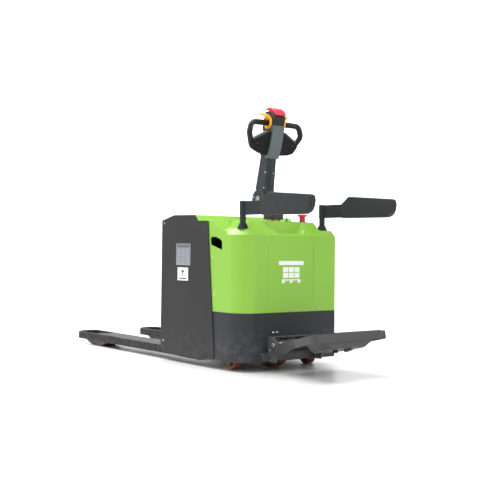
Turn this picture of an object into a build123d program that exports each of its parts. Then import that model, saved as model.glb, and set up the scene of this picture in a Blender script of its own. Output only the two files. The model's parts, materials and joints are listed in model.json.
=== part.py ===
from build123d import *
import math
import os

# Electric pallet truck with a fold-down platform and swing-out side arms. Millimetres.
# Drawing frame: +Z up from the floor, forks along +Y, operator at -Y, Y = 0 at the rear face of the body.
# Each piece is moved by to_origin when it is written, so that Y = 0 is the middle of the whole truck.

# Body
body_width = 734
body_end_y = 812
rear_left_r = 115
rear_right_r = 30
side_plate_t = 5
slide_gap = 1
cover_wall = 4
skirt_wall = 5
skirt_bottom_z = 53
seam_z = 328
shoulder_z = 766
ledge_z = 801
deck_z = 850
shoulder_inset = 26
lid_z = 886
lid_t = 4

grab_pocket_depth = 48
grab_pocket_wall = 3

# Welded frame inside the body
bulkhead_y = 312
bulkhead_t = 6
base_z = 300
base_t = 12
shelf_z = 759
shelf_t = 8
rail_x = 200
rail_half = 20
rail_t = 20
bush_r = 41
tower_r = 45
turntable_r = 88
turntable_in_r = 66
screw_r = 6

# Controls on the deck
estop_x = 220
estop_y = 160
estop_stem_r = 17.5
gauge_x = 134
gauge_y = 160
key_x = 70
key_y = 128
key_r = 5

# Forks and lift
fork_length = 1185
fork_width = 170
fork_spread = 685
fork_top_z = 85
fork_bottom_z = 35
fork_wall = 7
fork_heel_y = 420
fork_heel_step = 1
fork_edge_r = 10
fork_tip_r = 62
opening_length = 300
opening_rim = 15
bogie_setback = 272
lift_travel = 120
barrel_r = 30
ram_r = 17.5
ram_head_z = 480
end_wall_t = 6
lid_hinge_z = 866
lid_pin_r = 4
load_arm_length = 190
load_arm_rest_deg = 6.0
load_pin_r = 9
link_in_x = 70
link_t = 6
bogie_plate_x = 61
bogie_plate_t = 7
bogie_pin_r = 7
roller_pin_r = 8

# Wheels
drive_wheel_r = 115
drive_wheel_w = 75
drive_tyre_t = 20
motor_r = 62
motor_top_z = 610
gear_x = 42
roller_r = 38
roller_w = 112
roller_pitch = 110
caster_r = 45
caster_w = 56
caster_trail = 20
caster_x = 280
caster_y = 150
caster_stem_r = 14
caster_axle_r = 6
caster_plate_z = 122
caster_plate_t = 10

# Steering column and tiller
steer_y = 167
column_r = 59
column_neck_r = 30
column_low_z = 863
column_top_z = 923
pivot_y = 250
pivot_z = 985
cheek_r = 58
cheek_x = 40
cheek_t = 11
tiller_lean_deg = 17
tiller_half_width = 37
tiller_pin_r = 10
strip_height = 8
head_s = 259
head_half = 40
grip_r = 17
throttle_s = 192
throttle_v = -42
ear_half_s = 37
ear_half_v = 27
ear_in_x = 45
ear_out_x = 60
button_s = 204
horn_x = 16
horn_r = 9

# Side arms
post_x = 300
post_y = 71
post_r = 15
sleeve_r = 19.5
sleeve_low_z = 877
sleeve_high_z = 957
arm_pad_end_y = -515
arm_pad_t = 40
pad_low_z = 873
pad_high_z = 996
pad_start_y = -112

# Platform
hinge_y = -66
hinge_z = 153
platform_rest_deg = 13.5
platform_reach = 446
platform_arm_x = 180
platform_arm_t = 6
bracket_plate_t = 8
hinge_pin_r = 8
flare_start = 62
flare_end = 262
flare_x = 250
rim_low = -50
pan_low = -84

# Clearances
running_fit = 0.05
side_gap = 2.0

# Values that follow
body_half = body_width / 2
cover_half = body_half - side_plate_t - slide_gap
fork_x = (fork_spread - fork_width) / 2
fork_tip_y = body_end_y + fork_length
cover_end_y = 334
box_rear_y = 400
plate_foot_y = 269
plate_foot_z = 333
plate_slope = (316 - plate_foot_y) / (849 - plate_foot_z)
post_foot_z = shelf_z
ram_y = bulkhead_y + 46
rail_block_y = bulkhead_y + bulkhead_t + rail_t + 8
box_floor_z = fork_top_z - fork_heel_step
end_wall_y = body_end_y - 12
lid_hinge_y = end_wall_y + 3
mid_length = (fork_tip_y + arm_pad_end_y) / 2
to_origin = Location((0, -mid_length, 0))
bogie_y = fork_tip_y - bogie_setback
bogie_z = roller_r
load_arm_drop = load_arm_length * math.sin(math.radians(load_arm_rest_deg))
load_pivot_y = bogie_y - load_arm_length * math.cos(math.radians(load_arm_rest_deg))
load_pivot_z = bogie_z + load_arm_drop

lean = math.radians(tiller_lean_deg)
tiller_frame = Plane(
    origin=(0, pivot_y, pivot_z), x_dir=(1, 0, 0), z_dir=(0, -math.cos(lean), -math.sin(lean))
)
head_frame = Plane(
    origin=tiller_frame.from_local_coords((0, head_s, 0)),
    x_dir=(1, 0, 0),
    z_dir=(0, -math.cos(lean), -math.sin(lean)),
)
tilt = math.radians(platform_rest_deg)
platform_frame = Plane(
    origin=(0, hinge_y, hinge_z), x_dir=(1, 0, 0), z_dir=(0, math.sin(tilt), math.cos(tilt))
)


def prism(points, direction, length):
    """A closed outline of 3-D points in one plane, extruded."""
    return extrude(make_face(Polyline(*points, close=True)), amount=length, dir=direction)


def prism_yz(points, x_low, x_high):
    return prism([(x_low, y, z) for y, z in points], (1, 0, 0), x_high - x_low)


def prism_xz(points, y_low, y_high):
    return prism([(x, y_low, z) for x, z in points], (0, 1, 0), y_high - y_low)


def prism_xy(points, z_low, z_high):
    return prism([(x, y, z_low) for x, y in points], (0, 0, 1), z_high - z_low)


def block(x, y, z):
    """A box from three (low, high) pairs."""
    size = [high - low for low, high in (x, y, z)]
    middle = [(low + high) / 2 for low, high in (x, y, z)]
    return Pos(*middle) * Box(*size)


def rod(start, end, radius):
    """A cylinder between two points."""
    start, end = Vector(*start), Vector(*end)
    run = end - start
    bottom = (Align.CENTER, Align.CENTER, Align.MIN)
    return Plane(origin=start, z_dir=run.normalized()) * Cylinder(radius, run.length, align=bottom)


def rod_x(y, z, x_low, x_high, radius):
    return rod((x_low, y, z), (x_high, y, z), radius)


def rod_z(x, y, z_low, z_high, radius):
    return rod((x, y, z_low), (x, y, z_high), radius)


def both_sides(shape):
    """The shape and its mirror image across the middle of the truck."""
    return [shape, mirror(shape, about=Plane.YZ)]


def together(*shapes):
    """Separate solids in one node."""
    flat = []
    for shape in shapes:
        for one in shape if isinstance(shape, list) else [shape]:
            flat.extend(one.solids())
    return Compound(flat)


def body_plan(inset, end_y, z):
    """The plan outline of the rear body, with its two rear corners rounded differently."""
    outline = Rectangle(2 * (cover_half - inset), end_y - inset, align=(Align.CENTER, Align.MIN))
    corners = outline.vertices().sort_by(Axis.Y)[:2].sort_by(Axis.X)
    outline = fillet(corners[0], max(rear_left_r - inset, 2))
    corners = outline.vertices().sort_by(Axis.X)[-2:].sort_by(Axis.Y)
    outline = fillet(corners[0], max(rear_right_r - inset, 2))
    return Pos(0, inset, z) * outline


def plate_edge_y(z):
    """Where the slanted rear edge of the side plates is at a height."""
    return plate_foot_y + (z - plate_foot_z) * plate_slope


# ---------------------------------------------------------------- rear body
def cover_form(inset, end_y, foot_z):
    """The outer form of the green cover, or the room inside it."""
    walls = extrude(body_plan(inset, end_y, foot_z), shoulder_z - inset - foot_z)
    shoulder = loft(
        [
            body_plan(inset, end_y, shoulder_z - inset),
            body_plan(shoulder_inset + inset, end_y, ledge_z - inset),
        ],
        ruled=True,
    )
    half = cover_half - inset
    side_rise = prism_yz(
        [
            (125 + inset, shoulder_z - inset),
            (174 + inset, ledge_z - inset),
            (end_y, ledge_z - inset),
            (end_y, shoulder_z - inset),
        ],
        -half,
        half,
    )
    deck_rise = prism_yz(
        [
            (226 + inset, ledge_z - inset),
            (277 + inset, deck_z - inset),
            (end_y, deck_z - inset),
            (end_y, ledge_z - inset),
        ],
        -half,
        half,
    )
    low_face = Pos(0, 148, ledge_z - inset) * Rectangle(2 * (266 - inset), 186 - 2 * inset)
    high_face = Pos(0, 170, deck_z - inset) * Rectangle(2 * (250 - inset), 150 - 2 * inset)
    middle = loft([low_face, high_face], ruled=True)
    bridge = block((inset - 250, 250 - inset), (200, 290), (ledge_z - inset, deck_z - inset))
    form = walls + shoulder + side_rise + deck_rise + middle + bridge
    scoop_low = Pos(0, 30, ledge_z - 24 - inset) * Rectangle(2 * (97 + inset), 80 + 2 * inset)
    scoop_high = Pos(0, 42, deck_z + 1) * Rectangle(2 * (158 + inset), 104 + 2 * inset)
    return form - loft([scoop_low, scoop_high], ruled=True)


def grab_outline():
    """The grab slot in the side of the cover, as Y, Z points."""
    return [(186, 684), (186, 727), (205, 741), (245, 751), (284, 753), (290, 738), (284, 712), (236, 702)]


def grab_hole(grow):
    middle_y = 238
    middle_z = 720
    points = []
    for y, z in grab_outline():
        away = Vector(y - middle_y, z - middle_z, 0)
        further = away + away.normalized() * grow
        points.append((middle_y + further.X, middle_z + further.Y))
    return points


def rear_cover():
    outer = cover_form(0, cover_end_y, seam_z)
    room = cover_form(cover_wall, cover_end_y + 20, seam_z - 20)
    cover = outer - room
    trim = prism_yz(
        [
            (plate_edge_y(seam_z) + 12, seam_z - 5),
            (plate_edge_y(deck_z) + 12, deck_z + 5),
            (cover_end_y + 30, deck_z + 5),
            (cover_end_y + 30, seam_z - 5),
        ],
        -body_half,
        body_half,
    )
    cover -= trim
    for side in (-1, 1):
        low, high = sorted((side * (cover_half - 10), side * (cover_half + 10)))
        cover -= prism_yz(grab_hole(grab_pocket_wall), low, high)
        cover -= rod_z(side * post_x, post_y, ledge_z - 40, ledge_z + 10, post_r + 3)
        groove_low, groove_high = sorted((side * 168.5, side * 171.5))
        cover -= block((groove_low, groove_high), (-1, 1.5), (380, 712))
    cover -= rod_z(0, steer_y, deck_z - 30, deck_z + 10, 46)
    cover -= rod_z(estop_x, estop_y, deck_z - 30, deck_z + 10, 20)
    return cover


def grab_pockets():
    """Dark plastic cups behind the grab slots."""
    low, high = -cover_half, -cover_half + grab_pocket_depth
    cup = prism_yz(grab_hole(grab_pocket_wall), low, high)
    cup -= prism_yz(grab_hole(0), low - 1, high - grab_pocket_wall)
    return together(both_sides(cup))


def skirt():
    shell = extrude(body_plan(0, cover_end_y, skirt_bottom_z), seam_z - skirt_bottom_z)
    shell -= extrude(
        body_plan(skirt_wall, cover_end_y + 20, skirt_bottom_z - 10), seam_z - skirt_bottom_z + 20
    )
    end_y = plate_edge_y(seam_z) + 12
    shell -= block((-body_half, body_half), (end_y, cover_end_y + 30), (0, seam_z + 10))
    return shell


def drive_frame():
    """Welded frame: bulkhead with lift rails, two decks, caster plates and the column tower."""
    inside = cover_half - skirt_wall - 3
    frame = block((-inside, inside), (bulkhead_y, bulkhead_y + bulkhead_t), (70, shelf_z + shelf_t))
    base = extrude(body_plan(skirt_wall + 3, bulkhead_y, base_z), base_t)
    base -= rod_z(0, steer_y, base_z - 5, base_z + base_t + 5, turntable_r)
    shelf = extrude(body_plan(shoulder_inset, bulkhead_y, shelf_z), shelf_t)
    shelf -= rod_z(0, steer_y, shelf_z - 5, shelf_z + shelf_t + 5, bush_r)
    tower = rod_z(0, steer_y, shelf_z + shelf_t, deck_z - cover_wall - 3, tower_r)
    tower -= rod_z(0, steer_y, shelf_z, deck_z, bush_r)
    frame += base + shelf + tower
    for side in (-1, 1):
        x_low, x_high = sorted((side * 200, side * inside))
        frame += block((x_low, x_high), (120, bulkhead_y), (caster_plate_z, caster_plate_z + caster_plate_t))
        web_low, web_high = sorted((side * 206, side * 200))
        frame += block((web_low, web_high), (120, bulkhead_y), (caster_plate_z, base_z))
        frame -= rod_z(side * caster_x, caster_y, 100, 150, caster_stem_r)
        frame -= rod_z(side * post_x, post_y, shelf_z - 5, shelf_z + shelf_t + 5, post_r)
        rail_y = bulkhead_y + bulkhead_t
        rail_low, rail_high = side * rail_x - rail_half, side * rail_x + rail_half
        frame += block((rail_low, rail_high), (rail_y, rail_y + rail_t), (110, 760))
    foot = block((-60, 60), (bulkhead_y + bulkhead_t, bulkhead_y + 72), (100, 112))
    return frame + foot


def column_bearings():
    """Turntable ring under the motor and the brass bush round the column neck."""
    ring = rod_z(0, steer_y, base_z, base_z + base_t, turntable_r)
    ring += rod_z(0, steer_y, base_z + base_t, base_z + base_t + 6, turntable_r + 8)
    ring -= rod_z(0, steer_y, base_z - 5, base_z + 40, turntable_in_r)
    bush = rod_z(0, steer_y, shelf_z, column_low_z - 1, bush_r)
    bush -= rod_z(0, steer_y, shelf_z - 5, column_low_z + 5, column_neck_r + running_fit)
    return together(ring, bush)


def arm_posts():
    post = rod_z(-post_x, post_y, post_foot_z, sleeve_high_z - 8, post_r)
    collar = rod_z(-post_x, post_y, ledge_z + 32, sleeve_low_z - 0.5, post_r + 2)
    return together(both_sides(post + collar))


def post_boots():
    """Rubber cones that seal the posts to the cover."""
    cone = Pos(-post_x, post_y, ledge_z + 16) * Cone(32, 20, 30)
    foot = rod_z(-post_x, post_y, ledge_z, ledge_z + 1, 32)
    cone = cone + foot - rod_z(-post_x, post_y, ledge_z - 5, ledge_z + 40, post_r)
    return together(both_sides(cone))


def chassis_screws():
    """Screws round the cover and the bolts of the platform bracket."""
    heads = []
    for z in (641, 425):
        y = plate_edge_y(z) - 20
        heads += both_sides(rod_x(y, z, -cover_half - 2, -cover_half, screw_r))
    for x in (-215, 215):
        heads.append(rod((x, 0, seam_z + 19), (x, -2.5, seam_z + 19), screw_r))
    face = platform_arm_x - platform_arm_t - side_gap
    heads += both_sides(rod_x(-25, 123, face, face + 5, 6))
    for x, z in ((-133, 217), (-105, 217)):
        heads.append(rod((x, 0, z), (x, -12, z), 9))
    for x, z in ((118, 178), (-118, 130), (118, 130)):
        heads.append(rod((x, -6, z), (x, -12, z), 7))
    return together(heads)


def switch_bases():
    """Collars of the emergency stop and of the key switch."""
    ring = rod_z(estop_x, estop_y, deck_z, deck_z + 6, 27)
    ring -= rod_z(estop_x, estop_y, deck_z - 5, deck_z + 10, estop_stem_r + 0.5)
    barrel = rod_z(key_x, key_y, deck_z, deck_z + 5, 10)
    barrel -= rod_z(key_x, key_y, deck_z + 1, deck_z + 10, key_r)
    return together(ring, barrel)


def estop_knob():
    stem = rod_z(estop_x, estop_y, deck_z - 2, deck_z + 36, estop_stem_r)
    dome = rod_z(estop_x, estop_y, deck_z + 36, deck_z + 49, 29.5)
    dome = fillet(dome.edges().sort_by(Axis.Z)[-1], 5)
    return stem + dome


def status_gauge():
    """Oval battery gauge, flush on the deck."""
    oval = extrude(Pos(gauge_x, gauge_y, deck_z) * Ellipse(36, 24), 4)
    return fillet(oval.edges().sort_by(Axis.Z)[-1:], 1.5)


def ignition_key():
    shaft = rod_z(key_x, key_y, deck_z + 1, deck_z + 8, key_r - running_fit)
    grip = block((key_x - 2, key_x + 2), (key_y - 8, key_y + 8), (deck_z + 8, deck_z + 22))
    return shaft + fillet(grip.edges().filter_by(Axis.X), 4)


# ---------------------------------------------------------------- lift parts on the drive frame


def lift_cylinder():
    barrel = rod_z(0, ram_y, 112, 430, barrel_r)
    return barrel - rod_z(0, ram_y, 132, 440, ram_r + running_fit)


def lift_ram():
    return rod_z(0, ram_y, 140, ram_head_z, ram_r)


def hydraulic_unit():
    """Tank, valve block and pump motor in one bolted unit."""
    tank_z = base_z + base_t
    tank = block((190, 320), (170, 290), (tank_z, tank_z + 150))
    tank = fillet(tank.edges().filter_by(Axis.Z), 15)
    valve = block((215, 295), (190, 270), (tank_z + 150, tank_z + 190))
    motor = rod_z(255, 230, tank_z + 190, tank_z + 320, 42)
    return tank + valve + motor


# ---------------------------------------------------------------- steering unit


def steer_column():
    """Neck, drum and the two cheeks that carry the tiller pivot."""
    neck = rod_z(0, steer_y, motor_top_z, column_low_z, column_neck_r)
    drum = rod_z(0, steer_y, column_low_z, column_top_z, column_r)
    cheek = prism_yz(
        [
            (steer_y - 46, column_top_z - 20),
            (steer_y + 50, column_top_z - 20),
            (pivot_y + 50, pivot_z - 28),
            (pivot_y, pivot_z),
            (pivot_y - 52, pivot_z - 22),
        ],
        -cheek_x - cheek_t,
        -cheek_x,
    )
    cheek += rod_x(pivot_y, pivot_z, -cheek_x - cheek_t, -cheek_x, cheek_r)
    cheek -= rod_x(pivot_y, pivot_z, -cheek_x - cheek_t - 5, -cheek_x + 5, tiller_pin_r)
    cheeks = both_sides(cheek)
    column = neck + drum + cheeks[0] + cheeks[1]
    arm_swing_r = 64
    return column - rod_x(pivot_y, pivot_z, -cheek_x, cheek_x, arm_swing_r)


def tiller_pin():
    """Pivot pin of the tiller, and the small bolts on the outer faces of the cheeks."""
    pin = rod_x(pivot_y, pivot_z, -cheek_x - cheek_t - 4, cheek_x + cheek_t + 4, tiller_pin_r)
    for side in (-1, 1):
        face = side * (cheek_x + cheek_t)
        low, high = sorted((face, face + side * 5))
        pin += rod_x(pivot_y, pivot_z, low, high, 17)
    face = -cheek_x - cheek_t
    bolts = both_sides(rod_x(pivot_y + 38, pivot_z + 12, face - 3, face, 5))
    return together(pin, bolts)


def gearbox():
    """Right-angle gearbox beside the drive wheel, hung from the turntable."""
    outline = [(-98, 70), (-98, 262), (-60, 296), (58, 296), (58, 246), (-gear_x, 246), (-gear_x, 70)]
    case = prism_xz(outline, steer_y - 60, steer_y + 60)
    spigot = rod_z(0, steer_y, 296, base_z + base_t + 12, turntable_in_r - 0.3)
    hub = rod_x(steer_y, drive_wheel_r, -98, -gear_x, 66)
    axle = rod_x(steer_y, drive_wheel_r, -gear_x, 34, 20)
    return case + spigot + hub + axle


def drive_motor():
    low = base_z + base_t + 12
    body = rod_z(0, steer_y, low, motor_top_z, motor_r)
    for step in range(6):
        z = low + 60 + 24 * step
        body -= rod_z(0, steer_y, z, z + 8, motor_r + 5) - rod_z(0, steer_y, z - 1, z + 9, motor_r - 4)
    return body


def drive_tyre():
    half = drive_wheel_w / 2
    tyre = rod_x(steer_y, drive_wheel_r, -half, half, drive_wheel_r)
    tyre = chamfer(tyre.edges().filter_by(GeomType.CIRCLE), 5)
    return tyre - rod_x(steer_y, drive_wheel_r, -half - 5, half + 5, drive_wheel_r - drive_tyre_t)


def drive_hub():
    half = drive_wheel_w / 2 - 2
    hub = rod_x(steer_y, drive_wheel_r, -half, half, drive_wheel_r - drive_tyre_t)
    hub -= rod_x(steer_y, drive_wheel_r, -half - 5, half + 5, 20 + running_fit)
    hub -= rod_x(steer_y, drive_wheel_r, 14, half + 5, 78) - rod_x(steer_y, drive_wheel_r, 10, half + 6, 42)
    return hub


# ---------------------------------------------------------------- tiller (x, s up the arm, v to the operator)
def arm_front_v(s):
    """How far forward the front of the arm is at a height s along it."""
    return 24 - 42 * (s - 62) / (head_s - 50)


def tiller_arm():
    """Box arm with a raised strip up its front, its pivot hub and the stem to it."""
    low_s, high_s = 44, head_s + 12
    outline = [(-62, low_s), (24, low_s), (24, 62), (arm_front_v(high_s), high_s), (-74, high_s), (-62, 62)]
    arm = tiller_prism(outline, -tiller_half_width, tiller_half_width)
    hub = rod_x(pivot_y, pivot_z, side_gap - cheek_x, cheek_x - side_gap, 26)
    stem = tiller_prism([(-20, 0), (20, 0), (24, low_s), (-24, low_s)], -26, 26)
    strip = [(arm_front_v(78) + strip_height, 78), (arm_front_v(205) + strip_height, 205)]
    strip = tiller_prism(strip + [(arm_front_v(205) - 3, 205), (arm_front_v(78) - 3, 78)], -6, 26)
    slot_low, slot_high = high_s - 46, high_s - 38
    slot = [(-15, slot_low), (-6, slot_low), (-7, slot_high), (-16, slot_high)]
    slot = tiller_prism(slot, -14, 2)
    return arm + hub + stem + strip - slot - rod_x(pivot_y, pivot_z, -60, 60, tiller_pin_r + running_fit)


def tiller_prism(points_vs, x_low, x_high):
    """An outline of (v, s) points in the tiller's frame, from x_low to x_high."""
    points = [tiller_frame.from_local_coords((x_low, s, v)) for v, s in points_vs]
    return prism(points, (1, 0, 0), x_high - x_low)


def head_prism(points_vs, x_low, x_high):
    points = [head_frame.from_local_coords((x_low, s, v)) for v, s in points_vs]
    return prism(points, (1, 0, 0), x_high - x_low)


def head_slab(points_xs, v_low, v_high):
    """An outline of (x, s) points in the head's frame, between two depths."""
    points = [head_frame.from_local_coords((x, s, v_low)) for x, s in points_xs]
    return prism(points, head_frame.z_dir, v_high - v_low)


def tiller_screws():
    """Screws in the sides of the arm, in the wing plates and in the face of the head."""
    heads = []
    for s, v in ((72, 14), (164, 0)):
        for x, out in ((-tiller_half_width, -2.5), (tiller_half_width, 2.5)):
            start = tiller_frame.from_local_coords((x, s, v))
            end = tiller_frame.from_local_coords((x + out, s, v))
            heads.append(rod(tuple(start), tuple(end), 5))
    for x, s in ((-6, 244), (15, 165)):
        front_v = arm_front_v(s) + 1 + (strip_height if x > 0 else 0)
        start = tiller_frame.from_local_coords((x, s, front_v))
        end = tiller_frame.from_local_coords((x, s, front_v + 3))
        heads.append(rod(tuple(start), tuple(end), 4.5))
    for x, s, v, radius in ((-131, 74, -6, 5), (131, 74, -6, 5), (-22, 226, -6.2, 4), (22, 226, -6.2, 4)):
        heads.append(head_stub(x, s, v, v + 2.5, radius))
    return together(heads)


def loop_path():
    """The middle line of the right handle loop."""
    corners = [(38, throttle_s, throttle_v), (178, 190, -38), (196, 132, -19), (150, 46, -32), (38, 26, -34)]
    points = [head_frame.from_local_coords(corner) for corner in corners]
    return FilletPolyline(*points, radius=(36, 42, 46))


def handle_loops():
    path = loop_path()
    section = Plane(origin=path @ 0, z_dir=path % 0) * Circle(grip_r)
    return together(both_sides(sweep(section, path=path)))


def head_housing():
    """Rear shell of the head: upper block, neck and the two webs inside the loops."""
    top = [(-5, 190), (-7, 239), (-30, 252), (-61, 258), (-86, 254), (-105, 247)]
    bottom = [(-106, 150), (-80, 120), (-40, 120), (-24, 120), (-24, 190)]
    upper = head_prism(top + bottom, -head_half, head_half)
    neck = head_prism([(-24, -8), (-24, 190), (-66, 190), (-80, 60), (-80, -8)], -head_half, head_half)
    web = [(30, 148), (72, 148), (150, 108), (166, 92), (168, 62), (140, 34), (60, 12), (30, 10)]
    web = head_slab(web, -30, -12)
    webs = both_sides(web)
    housing = upper + neck + webs[0] + webs[1]
    inside = head_half - 8
    housing -= head_prism([(-14, 208), (-14, 260), (-92, 260), (-92, 208)], -inside, inside)
    housing -= arm_socket()
    for solid in handle_loops().solids():
        housing -= solid
    housing -= head_slab([(-26, 186), (-26, 222), (-2, 222), (-2, 186)], -120, -98)
    housing -= head_stub(horn_x, button_s, -120, -96, horn_r + 0.3)
    return housing - head_cover()


def arm_socket():
    """The room that the top of the arm takes up in the head."""
    outline = [(-65, 0), (-74, head_s + 13), (-10, head_s + 13), (36, 0)]
    return tiller_prism(outline, -tiller_half_width, tiller_half_width)


def head_stub(x, s, v_low, v_high, radius):
    """A short cylinder across the head, from one depth to another."""
    start = head_frame.from_local_coords((x, s, v_low))
    end = head_frame.from_local_coords((x, s, v_high))
    return rod(tuple(start), tuple(end), radius)


def head_rod(s, v, x_low, x_high, radius):
    start = head_frame.from_local_coords((x_low, s, v))
    end = head_frame.from_local_coords((x_high, s, v))
    return rod(tuple(start), tuple(end), radius)


def head_cover():
    """Grey front cover, slightly bowed, that runs down to the top of the arm."""
    front = [(0, -12), (5, 20), (8, 60), (7, 105), (3, 147), (0, 186)]
    cover = head_prism(front + [(-23.9, 188), (-23.9, -12)], -head_half - 3, head_half + 3)
    cover -= arm_socket()
    cover = fillet(cover.edges().filter_by(Axis.X).sort_by(Axis.Z)[-1:], 6)
    for solid in handle_loops().solids():
        cover -= solid
    return largest(cover)


def wing_plates():
    """Black front plates on the webs."""
    plate = head_slab([(44, 150), (156, 90), (176, 70), (150, 28), (112, 14), (44, 8)], -12, -6)
    for solid in handle_loops().solids():
        plate -= solid
    return together(both_sides(largest(plate)))


def largest(shape):
    return shape.solids().sort_by(SortBy.VOLUME)[-1]


def thumb_wings():
    """The two throttle paddles, which turn on the ends of the handle loops, with lobes that point back."""
    ear = []
    for step in range(24):
        angle = math.pi * step / 12
        v = throttle_v + ear_half_v * math.cos(angle)
        ear.append((v, throttle_s + ear_half_s * math.sin(angle)))
    wing = head_prism(ear, ear_in_x, ear_out_x)
    lobe = [(-40, 218), (-42, 230), (-66, 240), (-96, 239), (-98, 230), (-66, 228)]
    wing += head_prism(lobe, ear_in_x, 84)
    wing += head_prism([(-60, 229), (-62, 239), (-92, 239), (-96, 231)], 84, 104)
    wing -= head_rod(throttle_s, throttle_v, 30, 110, grip_r + 1.5)
    return together(both_sides(wing))


def belly_button():
    """Red safety button on the end of the tiller, on a dark sliding stem."""
    top = [(-3, 246), (-8, 260), (-30, 274), (-61, 281), (-88, 277), (-106, 265)]
    bottom = [(-106, 255), (-86, 262), (-61, 266), (-30, 260)]
    cap = head_prism(top + bottom, -head_half + 1, head_half - 1)
    foot = [(-46, 224), (-46, 264), (-60, 268), (-86, 264), (-90, 262), (-90, 224)]
    inside = head_half - 10
    return cap + head_prism(foot, -inside, inside)


def lift_rocker():
    return head_prism([(-102, 219), (-113, 217), (-110, 204), (-113, 191), (-102, 189)], -24, -4)


def horn_button():
    return head_stub(horn_x, button_s, -113, -100, horn_r)


# ---------------------------------------------------------------- side arms


def arm_bracket(side):
    sleeve = rod_z(side * post_x, post_y, sleeve_low_z, sleeve_high_z, sleeve_r)
    x_low = side * post_x - 5
    plate = prism_yz(
        [
            (post_y, sleeve_low_z),
            (pad_start_y, sleeve_low_z),
            (pad_start_y, sleeve_high_z - 2),
            (post_y, sleeve_high_z - 2),
        ],
        x_low,
        x_low + 10,
    )
    bore = rod_z(side * post_x, post_y, sleeve_low_z - 5, sleeve_high_z - 7.5, post_r + running_fit)
    return sleeve + plate - bore


def arm_pad(side):
    """Foam-covered rest with a large round corner at its low outer end."""
    end = arm_pad_end_y
    outline = make_face(
        Polyline(
            (0, pad_start_y, pad_low_z),
            (0, end, pad_low_z - 4),
            (0, end, pad_high_z - 26),
            (0, pad_start_y - 80, pad_high_z),
            (0, pad_start_y - 56, pad_high_z),
            (0, pad_start_y, sleeve_high_z - 2),
            close=True,
        )
    )
    pad = extrude(Pos(side * post_x - arm_pad_t / 2, 0, 0) * outline, amount=arm_pad_t, dir=(1, 0, 0))
    ends = pad.edges().filter_by(Axis.X).group_by(Axis.Y)[0].sort_by(Axis.Z)
    pad = fillet(ends[0], 62)
    ends = pad.edges().filter_by(Axis.X).sort_by(Axis.Z)
    far = [edge for edge in ends if abs(edge.center().Y - end) < 1]
    return fillet(far[-1], 24)


# ---------------------------------------------------------------- platform
def platform_prism(points_ow, x_low, x_high):
    """An outline of (outward, up) points in the platform's frame, from x_low to x_high."""
    points = [platform_frame.from_local_coords((x_low, -o, w)) for o, w in points_ow]
    return prism(points, (1, 0, 0), x_high - x_low)


def platform_slab(points_xo, w_low, w_high):
    """An outline of (x, outward) points in the platform's frame, between two heights."""
    points = [platform_frame.from_local_coords((x, -o, w_low)) for x, o in points_xo]
    return prism(points, platform_frame.z_dir, w_high - w_low)


def mirrored_outline(half):
    """A closed outline from its +X half, ordered from the hinge outwards."""
    return half + [(-x, o) for x, o in reversed(half)]


def platform_tray():
    """Pressed steel deck with a rim all round, the tapered pan under it and the latch."""
    inner = platform_arm_x - platform_arm_t
    half = [
        (inner, flare_start),
        (flare_x - platform_arm_t, flare_end),
        (flare_x, flare_end),
        (270, platform_reach - 50),
        (266, platform_reach - 18),
        (248, platform_reach),
    ]
    tray = platform_slab(mirrored_outline(half), rim_low, -6)
    room = [(x - 5, o + 5 if o < flare_end else o - 5) for x, o in half]
    tray -= platform_slab(mirrored_outline(room), rim_low - 1, -10)
    latch = platform_prism([(352, pan_low + 2), (352, -100), (392, -94), (380, pan_low + 2)], 8, 40)
    return tray + platform_pan() + latch


def platform_pan():
    """Tapered pan that closes the deck from below, with two slots in its floor."""
    top = [(130, 170), (215, 290), (250, platform_reach - 52), (238, platform_reach - 8)]
    low = [(100, 230), (150, 280), (158, 345), (118, 404)]
    outer = loft([pan_outline(top, -9, 0), pan_outline(low, pan_low, 0)], ruled=True)
    inner = loft([pan_outline(top, -10, 4), pan_outline(low, pan_low + 3, 4)], ruled=True)
    pan = outer - inner
    for x in (-70, 70):
        slot = [(270, pan_low - 5), (322, pan_low - 5), (322, -60), (270, -60)]
        pan -= platform_prism(slot, x - 20, x + 20)
    return pan


def pan_outline(half, w, inset):
    """A flat outline in the platform's frame, given by its +X half."""
    half = [(x - inset, o + inset if o < 260 else o - inset) for x, o in half]
    points = [platform_frame.from_local_coords((x, -o, w)) for x, o in mirrored_outline(half)]
    return make_face(Polyline(*points, close=True))


def platform_arms():
    """Side arms that carry the deck on the hinge pin."""
    outer = platform_arm_x
    strip = [
        (outer, -24),
        (outer, flare_start),
        (flare_x, flare_end),
        (flare_x - platform_arm_t, flare_end),
        (outer - platform_arm_t, flare_start),
        (outer - platform_arm_t, -24),
    ]
    arm = platform_slab(strip, -58, 2)
    arm -= platform_prism([(125, -70), (125, -58), (262, -40), (300, -40), (300, -70)], 100, 300)
    arm -= platform_prism([(-30, -70), (-30, -40), (4, -70)], 100, 300)
    arm -= rod_x(hinge_y, hinge_z, 100, 300, hinge_pin_r + running_fit)
    return together(both_sides(arm))


def platform_mat():
    """Ribbed rubber mat on the deck, and the rubber stop under the pan."""
    half = [(158, flare_start + 8), (236, flare_end), (248, platform_reach - 54), (242, platform_reach - 24)]
    half.append((226, platform_reach - 12))
    mat = platform_slab(mirrored_outline(half), -6, -1)
    for step in range(11):
        o = flare_start + 30 + 30 * step
        mat -= platform_prism([(o, -2.5), (o + 8, -2.5), (o + 8, 0), (o, 0)], -150, 150)
    stop = platform_prism([(320, pan_low), (320, -98), (336, -98), (336, pan_low)], -45, -20)
    return together(mat, stop)


def hinge_pin():
    outside = platform_arm_x + 1
    pin = rod_x(hinge_y, hinge_z, -outside, outside, hinge_pin_r)
    for side in (-1, 1):
        low, high = sorted((side * outside, side * (outside + 8)))
        pin += rod_x(hinge_y, hinge_z, low, high, 12)
    return pin


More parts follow.
